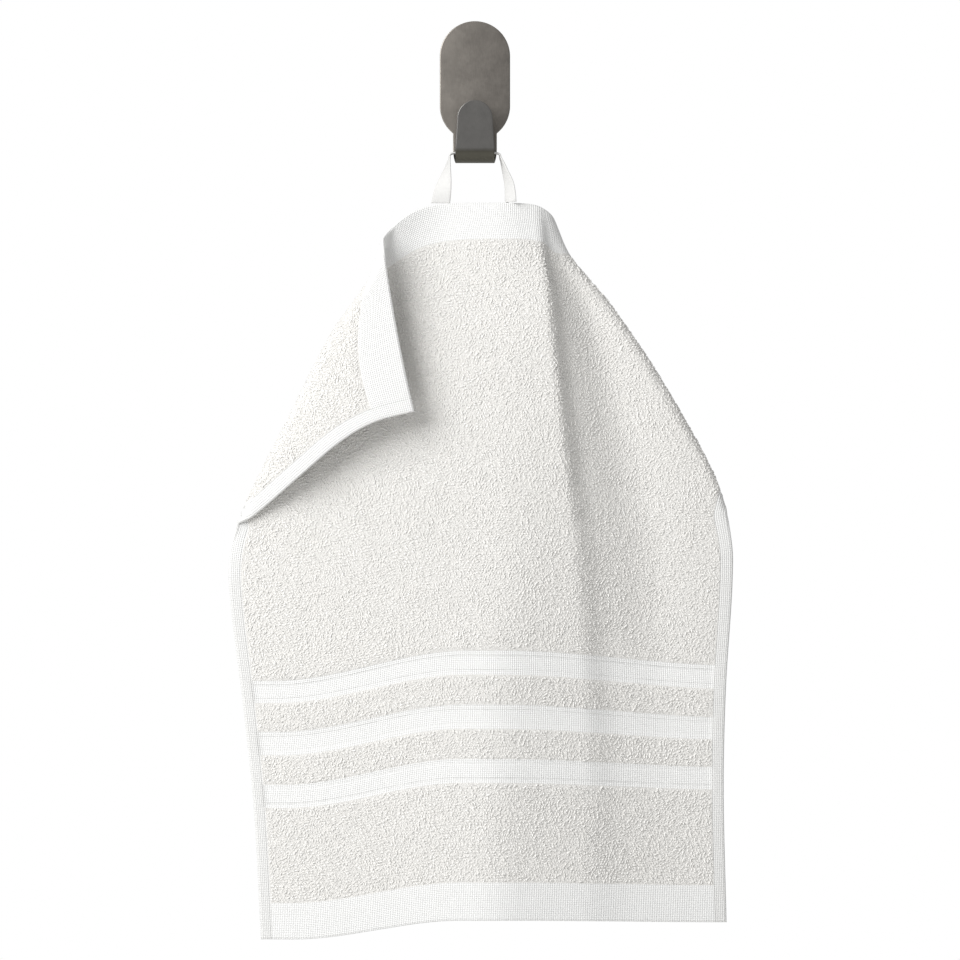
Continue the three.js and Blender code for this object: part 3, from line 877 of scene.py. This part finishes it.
def towel_sheet():
    """The cloth as one closed sheet: thinner in its bands and seams, thicker in its hems."""
    across = spaced_lines(CLOTH_WIDTH, [SIDE_HEM, CLOTH_WIDTH - SIDE_HEM])
    down = spaced_lines(CLOTH_LENGTH, [END_HEM, *band_edges(), CLOTH_LENGTH - END_HEM])
    a, d = np.meshgrid(across, down)
    half = np.full(a.shape, GROUND_THICKNESS / 2)
    half = np.where(in_band(d), BAND_THICKNESS / 2, half)
    half = np.where(in_hem(a, d), HEM_THICKNESS / 2, half)
    to_side = np.minimum(a, CLOTH_WIDTH - a)
    to_end = np.minimum(d, CLOTH_LENGTH - d)
    side_seam = np.exp(-(((to_side - SIDE_HEM + SIDE_SEAM_INSET) / SIDE_SEAM_HALF) ** 2))
    end_seam = np.exp(-(((to_end - END_HEM + END_SEAM_INSET) / END_SEAM_HALF) ** 2))
    half = half * (1 - SEAM_DEPTH * np.maximum(side_seam, end_seam))
    rim = clamp(np.minimum(to_side, to_end) / RIM_ROUNDING)
    half = half * np.sqrt(np.maximum(RIM_THINNEST, 1 - (1 - rim) ** 2))
    points, normals = cloth.point(a, d), cloth.normal(a, d)
    front = points + normals * half[..., None]
    back = points - normals * half[..., None]
    piece = sheet_mesh("towel_cloth", front, back, np.stack((a, d), -1))
    piece.data.materials.append(GROUND)
    piece.data.materials.append(BIRDSEYE)
    rows, columns = a.shape
    middle_a = (a[:-1, :-1] + a[1:, 1:]) / 2
    middle_d = (d[:-1, :-1] + d[1:, 1:]) / 2
    smooth_weave = (in_hem(middle_a, middle_d) | in_band(middle_d)).astype(np.int32).ravel()
    rim_faces = len(piece.data.polygons) - 2 * (rows - 1) * (columns - 1)
    slots = np.concatenate((smooth_weave, smooth_weave, np.ones(rim_faces, np.int32)))
    piece.data.polygons.foreach_set("material_index", slots)
    return piece


# Geometry Nodes: one tree for the loops of the pile and one for laid stitches


def tree_with_inputs(name, sizes):
    """A new tree with a geometry in and out, a size for each name, a seed and a material."""
    tree = bpy.data.node_groups.new(name, "GeometryNodeTree")
    kinds = [("Geometry", "Geometry"), *((size, "Float") for size in sizes)]
    kinds += [("Seed", "Int"), ("Material", "Material")]
    for title, kind in kinds:
        tree.interface.new_socket(title, in_out="INPUT", socket_type="NodeSocket" + kind)
    tree.interface.new_socket("Geometry", in_out="OUTPUT", socket_type="NodeSocketGeometry")
    build = NodeBuild(tree)
    return tree, build, build.node("NodeGroupInput").outputs


def attribute(build, name, kind):
    return build.add("GeometryNodeInputNamedAttribute", inputs={"Name": name}, data_type=kind)


def upright_rotation(build):
    """Turns an instance so that its own Z follows the point's "up"."""
    inputs = {"Vector": attribute(build, "up", "FLOAT_VECTOR")}
    return build.add("FunctionNodeAlignRotationToVector", inputs=inputs, axis="Z")


def random_number(build, low, high, seed, draw):
    """A random number for each point. The draws of one tree differ in their seed."""
    drawn = build.add("FunctionNodeIntegerMath", inputs={0: seed, 1: draw}, operation="ADD")
    made = build.node("FunctionNodeRandomValue", data_type="FLOAT")
    sockets = {s.name: s for s in made.inputs if s.enabled}
    for name, value in (("Min", low), ("Max", high), ("Seed", drawn)):
        build.join(value, sockets[name])
    return Signal(build, next(s for s in made.outputs if s.enabled))


def triple(build, x=0.0, y=0.0, z=0.0):
    return build.add("ShaderNodeCombineXYZ", inputs={"X": x, "Y": y, "Z": z})


def finish_tree(build, instances, material):
    real = build.add("GeometryNodeRealizeInstances", inputs={"Geometry": instances})
    smooth = build.add("GeometryNodeSetShadeSmooth", inputs={"Geometry": real})
    inputs = {"Geometry": smooth, "Material": material}
    coloured = build.add("GeometryNodeSetMaterial", inputs=inputs)
    output = build.node("NodeGroupOutput")
    build.join(coloured, output.inputs["Geometry"])


def loop_tree():
    """Stands a small leaning loop of yarn on each point, square to its "up"."""
    sizes = ("Loop Width", "Loop Height", "Yarn Radius", "Lean", "Stray Turn", "Size Spread")
    tree, build, given = tree_with_inputs("pile_loops", sizes)
    width, height, yarn_radius, lean, stray, spread = (Signal(build, given[size]) for size in sizes)
    seed = given["Seed"]
    arch = build.add(
        "GeometryNodeCurveArc",
        inputs={
            "Resolution": LOOP_STEPS,
            "Radius": 0.5,
            "Start Angle": -LOOP_PAST_HALF,
            "Sweep Angle": math.pi + 2 * LOOP_PAST_HALF,
        },
    )
    stood = build.add(
        "GeometryNodeTransform",
        inputs={
            "Geometry": arch,
            "Translation": triple(build, z=height * LOOP_RAISED),
            "Rotation": (math.pi / 2, 0.0, 0.0),
            "Scale": triple(build, width, height, height),
        },
    )
    yarn = build.add(
        "GeometryNodeCurvePrimitiveCircle",
        inputs={"Resolution": YARN_SIDES, "Radius": yarn_radius},
    )
    loop = build.add("GeometryNodeCurveToMesh", inputs={"Curve": stood, "Profile Curve": yarn})
    flow = attribute(build, "turn", "FLOAT")
    turned = flow + random_number(build, stray * -1.0, stray, seed, 0)
    leaned = random_number(build, lean * -1.0, lean, seed, 1)
    scale = random_number(build, 1.0 - spread, 1.0 + spread, seed, 2)
    inputs = {"Euler": triple(build, leaned, z=turned)}
    local = build.add("FunctionNodeEulerToRotation", inputs=inputs)
    rotation = build.add(
        "FunctionNodeRotateRotation",
        inputs={"Rotation": upright_rotation(build), "Rotate By": local},
        rotation_space="LOCAL",
    )
    instances = build.add(
        "GeometryNodeInstanceOnPoints",
        inputs={
            "Points": given["Geometry"],
            "Instance": loop,
            "Rotation": rotation,
            "Scale": triple(build, scale, scale, scale),
        },
    )
    finish_tree(build, instances, given["Material"])
    return tree


def thread_tree():
    """Lays one short stitch on each point, along its "along" and on the side of its "up"."""
    sizes = ("Stitch Length", "Thread Radius")
    tree, build, given = tree_with_inputs("laid_threads", sizes)
    length, radius = (Signal(build, given[size]) for size in sizes)
    line = build.add(
        "GeometryNodeCurvePrimitiveBezierSegment",
        inputs={
            "Resolution": THREAD_STEPS,
            "Start": triple(build, length * -0.5, z=radius * -STITCH_SUNK),
            "Start Handle": triple(build, length * -STITCH_HANDLE, z=radius * STITCH_RAISED),
            "End Handle": triple(build, length * STITCH_HANDLE, z=radius * STITCH_RAISED),
            "End": triple(build, length * 0.5, z=radius * -STITCH_SUNK),
        },
    )
    section = build.add(
        "GeometryNodeCurvePrimitiveCircle",
        inputs={"Resolution": THREAD_SIDES, "Radius": radius},
    )
    stitch = build.add(
        "GeometryNodeCurveToMesh",
        inputs={"Curve": line, "Profile Curve": section, "Fill Caps": True},
    )
    along = attribute(build, "along", "FLOAT_VECTOR")
    turned = build.add(
        "FunctionNodeAlignRotationToVector",
        inputs={"Rotation": upright_rotation(build), "Vector": along},
        axis="X",
        pivot_axis="Z",
    )
    instances = build.add(
        "GeometryNodeInstanceOnPoints",
        inputs={"Points": given["Geometry"], "Instance": stitch, "Rotation": turned},
    )
    finish_tree(build, instances, given["Material"])
    return tree


def grown_piece(name, tree, points, fields, values):
    """Runs a tree on loose points that carry fields, and keeps the plain mesh that it makes."""
    mesh = bpy.data.meshes.new(name + "_points")
    mesh.from_pydata([tuple(p) for p in points * MM], [], [])
    for title, data in fields.items():
        kind, member = ("FLOAT_VECTOR", "vector") if data.ndim == 2 else ("FLOAT", "value")
        layer = mesh.attributes.new(title, kind, "POINT")
        layer.data.foreach_set(member, data.astype(np.float32).ravel())
    piece = bpy.data.objects.new(name, mesh)
    modifier = piece.modifiers.new(name, "NODES")
    modifier.node_group = tree
    for item in tree.interface.items_tree:
        if item.item_type == "SOCKET" and item.in_out == "INPUT" and item.name in values:
            modifier[item.identifier] = values[item.name]
    scene.collection.objects.link(piece)
    graph = bpy.context.evaluated_depsgraph_get()
    grown = bpy.data.meshes.new_from_object(piece.evaluated_get(graph))
    piece.modifiers.clear()
    piece.data = grown
    grown.name = name
    bpy.data.meshes.remove(mesh)
    return piece


def pile_places(pitch, start, end, seed):
    """Points of the flat cloth where a loop stands, in slightly uneven rows."""
    chance = np.random.default_rng(seed)
    left, right = SIDE_HEM, CLOTH_WIDTH - SIDE_HEM
    across = np.arange(left + PILE_FROM_LEFT_HEM, right - PILE_FROM_RIGHT_HEM, pitch)
    down = np.arange(END_HEM, CLOTH_LENGTH, pitch)
    down = down[(down >= start) & (down < end)]
    a, d = np.meshgrid(across, down)
    a = a + np.where(np.arange(len(down)) % 2 == 0, 0.0, pitch / 2)[:, None]
    a = a + chance.uniform(-PILE_SCATTER, PILE_SCATTER, a.shape) * pitch
    d = d + chance.uniform(-PILE_SCATTER, PILE_SCATTER, d.shape) * pitch
    a, d = a.ravel(), d.ravel()
    keep = (a > left + PILE_OFF_HEM) & (a < right - PILE_OFF_HEM)
    keep &= (d > END_HEM + PILE_OFF_HEM) & (d < CLOTH_LENGTH - END_HEM - PILE_OFF_HEM)
    for edge in band_edges():
        keep &= np.abs(d - edge) > PILE_OFF_BAND
    keep &= ~in_band(d)
    return a[keep], d[keep]


def flow_turn(across, down):
    """The way that the pile was brushed: a turn that changes slowly over the cloth."""
    chance = np.random.default_rng(SEED)
    turn = np.zeros(np.shape(across))
    for _ in range(FLOW_WAVES):
        wave = 2 * math.pi / chance.uniform(FLOW_SHORTEST, FLOW_LONGEST)
        way = chance.uniform(0, math.pi)
        start = chance.uniform(0, 2 * math.pi)
        turn += np.sin(wave * (across * math.cos(way) + down * math.sin(way)) + start)
    return FLOW_SWING * turn / math.sqrt(FLOW_WAVES / 2)


def loops_on(name, tree, face, across, down, seed):
    """Loops on the cloth's front (face 1) or back (face -1), at places of the flat cloth."""
    normal = cloth.normal(across, down) * face
    base = cloth.point(across, down) + normal * (GROUND_THICKNESS / 2 - LOOP_SUNK)
    warp = cloth.along_warp(across, down)
    # A loop's own width lies along +X of the frame that Align Rotation makes from "up".
    side = unit(np.cross(np.array([0.0, 1.0, 0.0]), normal) + TINY)
    other = np.cross(normal, side)
    warp_turn = np.arctan2((warp * other).sum(-1), (warp * side).sum(-1))
    values = {
        "Loop Width": LOOP_WIDTH * MM,
        "Loop Height": LOOP_HEIGHT * MM,
        "Yarn Radius": LOOP_YARN * MM,
        "Lean": LOOP_LEAN,
        "Stray Turn": LOOP_STRAY_TURN,
        "Size Spread": LOOP_SIZE_SPREAD,
        "Seed": seed,
        "Material": PILE,
    }
    fields = {"up": normal, "turn": warp_turn + flow_turn(across, down)}
    return grown_piece(name, tree, base, fields, values)


def turned_to_front(across, down):
    """Whether the left corner turns the cloth's back to the front at these places."""
    return from_fold(LEFT_FOLD, across, down)[2] > -PILE_OVER_FOLD


def front_pile(name, tree, start, end, seed):
    across, down = pile_places(PILE_PITCH, start, end, seed)
    return loops_on(name, tree, 1, across, down, seed)


def back_pile(name, tree, start, end, seed):
    across, down = pile_places(PILE_PITCH_BEHIND, start, end, seed)
    keep = ~turned_to_front(across, down)
    return loops_on(name, tree, -1, across[keep], down[keep], seed)


def corner_pile(name, tree, seed):
    """The pile of the cloth's back that the left corner shows, as close as the front's."""
    across, down = pile_places(PILE_PITCH, END_HEM, LEFT_FOLD["side_down"], seed)
    keep = turned_to_front(across, down)
    return loops_on(name, tree, -1, across[keep], down[keep], seed)


def stitch_rows():
    """Places of the stitches along the hems, as across, down and whether they run down."""
    along_down = np.arange(STITCH_FIRST, CLOTH_LENGTH - STITCH_LAST, STITCH_PITCH)
    along_across = np.arange(STITCH_FIRST, CLOTH_WIDTH - STITCH_LAST, STITCH_PITCH)
    rows = []
    for across in (SIDE_HEM - SIDE_SEAM_INSET, CLOTH_WIDTH - SIDE_HEM + SIDE_SEAM_INSET):
        rows.append((np.full(along_down.shape, across), along_down, True))
    for down in (END_HEM - END_SEAM_INSET, CLOTH_LENGTH - END_HEM + END_SEAM_INSET):
        rows.append((along_across, np.full(along_across.shape, down), False))
    return rows


def hem_stitches(name, tree):
    places, ups, alongs = [], [], []
    for face in (1, -1):
        for across, down, runs_down in stitch_rows():
            normal = cloth.normal(across, down) * face
            along = cloth.along_warp if runs_down else cloth.along_weft
            places.append(cloth.point(across, down) + normal * (HEM_THICKNESS * STITCH_OUT_SHARE))
            ups.append(normal)
            alongs.append(along(across, down))
    values = {
        "Stitch Length": STITCH_LENGTH * MM,
        "Thread Radius": THREAD_RADIUS * MM,
        "Seed": SEED,
        "Material": THREAD,
    }
    fields = {"up": np.concatenate(ups), "along": np.concatenate(alongs)}
    return grown_piece(name, tree, np.concatenate(places), fields, values)


# Hanging tape


def tape_piece():
    """The loop of tape from one end over the hook's bend to the other, and its length."""
    steps = np.linspace(TAPE_PATH["down"][0], TAPE_PATH["down"][-1], TAPE_STEPS + 1)
    x, out, z, turn = (read(TAPE_PATH, name, steps) for name in ("x", "out", "z", "turn"))
    centre = np.stack((x, -out, z), -1)
    turn = np.radians(turn)
    across = np.stack((-np.sin(turn), -np.cos(turn), np.zeros_like(turn)), -1)
    tangent = unit(np.gradient(centre, axis=0))
    tangent[0], tangent[-1] = (0, 0, 1), (0, 0, -1)
    normal = unit(np.cross(tangent, across))
    across = unit(np.cross(normal, tangent))
    run = np.concatenate(([0.0], np.cumsum(np.linalg.norm(np.diff(centre, axis=0), axis=1))))
    side, half = TAPE_SECTION["side"], TAPE_SECTION["half"] * (TAPE_THICKNESS / 2)
    middle = centre[:, None] + across[:, None] * (side * TAPE_WIDTH / 2)[None, :, None]
    offset = normal[:, None] * half[None, :, None]
    flat = np.stack(np.meshgrid((side + 1) * TAPE_WIDTH / 2, run), -1)
    piece = sheet_mesh("tape_loop_strip", middle + offset, middle - offset, flat)
    piece.data.materials.append(TAPE)
    return piece, run[-1]


# Wall hook


def hook_stations():
    """Centre, width and direction of the strip, from the top of the plate to the tip of the arm."""
    stations = []
    radius = PLATE_WIDTH / 2
    for angle in np.linspace(ROUND_START, math.pi / 2, TOP_STEPS):
        place = PLATE_TOP - radius * (1 - math.cos(angle))
        stations.append((STEEL / 2, place, PLATE_WIDTH * math.sin(angle), 0.0))
    neck = math.acos(NECK_WIDTH / PLATE_WIDTH)
    for angle in np.linspace(0, neck, NECK_STEPS):
        place = PLATE_LOW_CENTRE - radius * math.sin(angle)
        stations.append((STEEL / 2, place, PLATE_WIDTH * math.cos(angle), 0.0))
    bend = BEND_INSIDE + STEEL / 2
    bend_out = STEEL + BEND_INSIDE
    bend_z = HOOK_BOTTOM + STEEL + BEND_INSIDE
    end = math.pi - ARM_LEAN
    for t in np.linspace(0, 1, BEND_STEPS):
        angle = end * t
        width = mix(NECK_WIDTH, ARM_BEND_WIDTH, float(ease(t * ARM_NARROWING)))
        out = bend_out - bend * math.cos(angle)
        stations.append((out, bend_z - bend * math.sin(angle), width, angle))
    start_out = bend_out - bend * math.cos(end)
    start_z = bend_z - bend * math.sin(end)
    length = (ARM_TIP_Z - start_z) / math.cos(ARM_LEAN)
    for angle in np.linspace(math.pi / 2, ROUND_START, TIP_STEPS):
        reach = length - ARM_TIP_WIDTH / 2 * (1 - math.cos(angle))
        out = start_out + reach * math.sin(ARM_LEAN)
        place = start_z + reach * math.cos(ARM_LEAN)
        stations.append((out, place, ARM_TIP_WIDTH * math.sin(angle), end))
    return stations


def strip_section(width):
    """A section of the strip with rounded edges, as places across it and through its thickness."""
    edge = min(STEEL_EDGE, width / 4)
    inset = min(STEEL_EDGE_INSET, width / 8)
    corner = [(width / 2 - edge - inset, STEEL / 2)]
    for k in range(STEEL_EDGE_STEPS + 1):
        turn = math.pi / 2 * k / STEEL_EDGE_STEPS
        across = width / 2 - edge + edge * math.sin(turn)
        corner.append((across, STEEL / 2 - edge + edge * math.cos(turn)))
    section = []
    for face in (1, -1):
        section += [(-face * across, face * through) for across, through in reversed(corner)]
        section += [(face * across, face * through) for across, through in corner]
    return section


def hook_piece():
    """The strip, drawn through its stations and closed at both ends."""
    rings = []
    for out, z, width, angle in hook_stations():
        inward = np.array([0.0, -math.cos(angle), math.sin(angle)])
        centre = np.array([0.0, -out, z])
        section = strip_section(width)
        rings.append([centre + np.array([w, 0, 0]) + inward * h for w, h in section])
    count = len(rings[0])
    vertices = np.array(rings).reshape(-1, 3) * MM
    faces = []
    for i in range(len(rings) - 1):
        for j in range(count):
            k = (j + 1) % count
            faces.append((i * count + j, i * count + k, (i + 1) * count + k, (i + 1) * count + j))
    faces.append(tuple(range(count))[::-1])
    last = (len(rings) - 1) * count
    faces.append(tuple(last + j for j in range(count)))
    piece = finish_mesh("wall_hook_steel", vertices, faces)
    piece.data.materials.append(STEEL_FINISH)
    return piece


GROUND = ground_cloth()
BIRDSEYE = birdseye_cloth()
PILE = pile_cotton()
TAPE = tape_cotton()
THREAD = thread_cotton()
STEEL_FINISH = brushed_steel()

towel = towel_sheet()
loops = loop_tree()
threads = thread_tree()
pile = [
    front_pile("terry_front_top", loops, END_HEM, 120.0, SEED),
    front_pile("terry_front_middle", loops, 120.0, 215.0, SEED + 10),
    front_pile("terry_front_lower", loops, 215.0, 335.0, SEED + 15),
    front_pile("terry_front_foot", loops, 335.0, CLOTH_LENGTH, SEED + 20),
    back_pile("terry_back_top", loops, END_HEM, 230.0, SEED + 30),
    back_pile("terry_back_foot", loops, 230.0, CLOTH_LENGTH, SEED + 40),
    corner_pile("terry_turned_corner", loops, SEED + 50),
]
stitches = hem_stitches("hem_stitches", threads)
tape, tape_run = tape_piece()
hook = hook_piece()

for piece in (towel, *pile, stitches, tape, hook):
    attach(piece, "root")
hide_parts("towel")
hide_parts("hanging_tape")
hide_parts("wall_hook")


# Studio: a pale floor, a white surround, soft light from the upper left front, and the camera


def pale_floor():
    signs = ((-1, -1), (1, -1), (1, 1), (-1, 1))
    corners = [(x * FLOOR_HALF, y * FLOOR_HALF, FLOOR_Z) for x, y in signs]
    floor = finish_mesh("floor", corners, [(0, 1, 2, 3)], smooth=False)
    material, build = new_material("pale_floor")
    finish_material(build, {"Base Color": FLOOR_GREY, "Roughness": 0.8})
    floor.data.materials.append(material)


def soft_light(name, place, aim, size, power):
    """A round area light that faces its aim."""
    light = bpy.data.lights.new(name, "AREA")
    light.shape = "DISK"
    light.size = size
    light.energy = power
    lamp = bpy.data.objects.new(name, light)
    lamp.location = place
    offset = np.array(aim) - np.array(place)
    lamp.rotation_euler = (
        math.acos(-offset[2] / np.linalg.norm(offset)),
        0.0,
        math.atan2(-offset[0], offset[1]),
    )
    scene.collection.objects.link(lamp)


def white_surround(seen, lit_above, lit_below):
    """White to the camera, and a softer light that is weaker from below."""
    world = bpy.data.worlds.new("white_surround")
    scene.world = world
    world.use_nodes = True
    build = NodeBuild(world.node_tree)
    straight = build.add("ShaderNodeLightPath", output="Is Camera Ray")
    way = build.parts(build.add("ShaderNodeTexCoord", output="Generated"))
    height = (way[2] * 0.5 + 0.5).at_least(0.0)
    lit = height * (lit_above - lit_below) + lit_below
    background = build.node("ShaderNodeBackground")
    background.inputs["Color"].default_value = (1.0, 1.0, 1.0, 1.0)
    build.join(straight * (seen - lit) + lit, background.inputs["Strength"])
    output = build.node("ShaderNodeOutputWorld")
    build.join(background.outputs[0], output.inputs["Surface"])


def photo_camera():
    """Straight at the wall, with the picture's width measured a little in front of it."""
    data = bpy.data.cameras.new("camera")
    data.sensor_width = SENSOR_WIDTH
    data.lens = SENSOR_WIDTH * (CAMERA_DISTANCE - PICTURE_DEPTH) / PICTURE_WIDTH
    camera = bpy.data.objects.new("camera", data)
    camera.location = (CAMERA_X, -CAMERA_DISTANCE, CAMERA_Z)
    camera.rotation_euler = (math.pi / 2, 0.0, 0.0)
    scene.collection.objects.link(camera)
    scene.camera = camera


pale_floor()
soft_light("key", KEY_PLACE, KEY_AIM, KEY_SIZE, KEY_POWER)
white_surround(SURROUND_SEEN, SURROUND_ABOVE, SURROUND_BELOW)
photo_camera()
scene.view_settings.view_transform = "Standard"
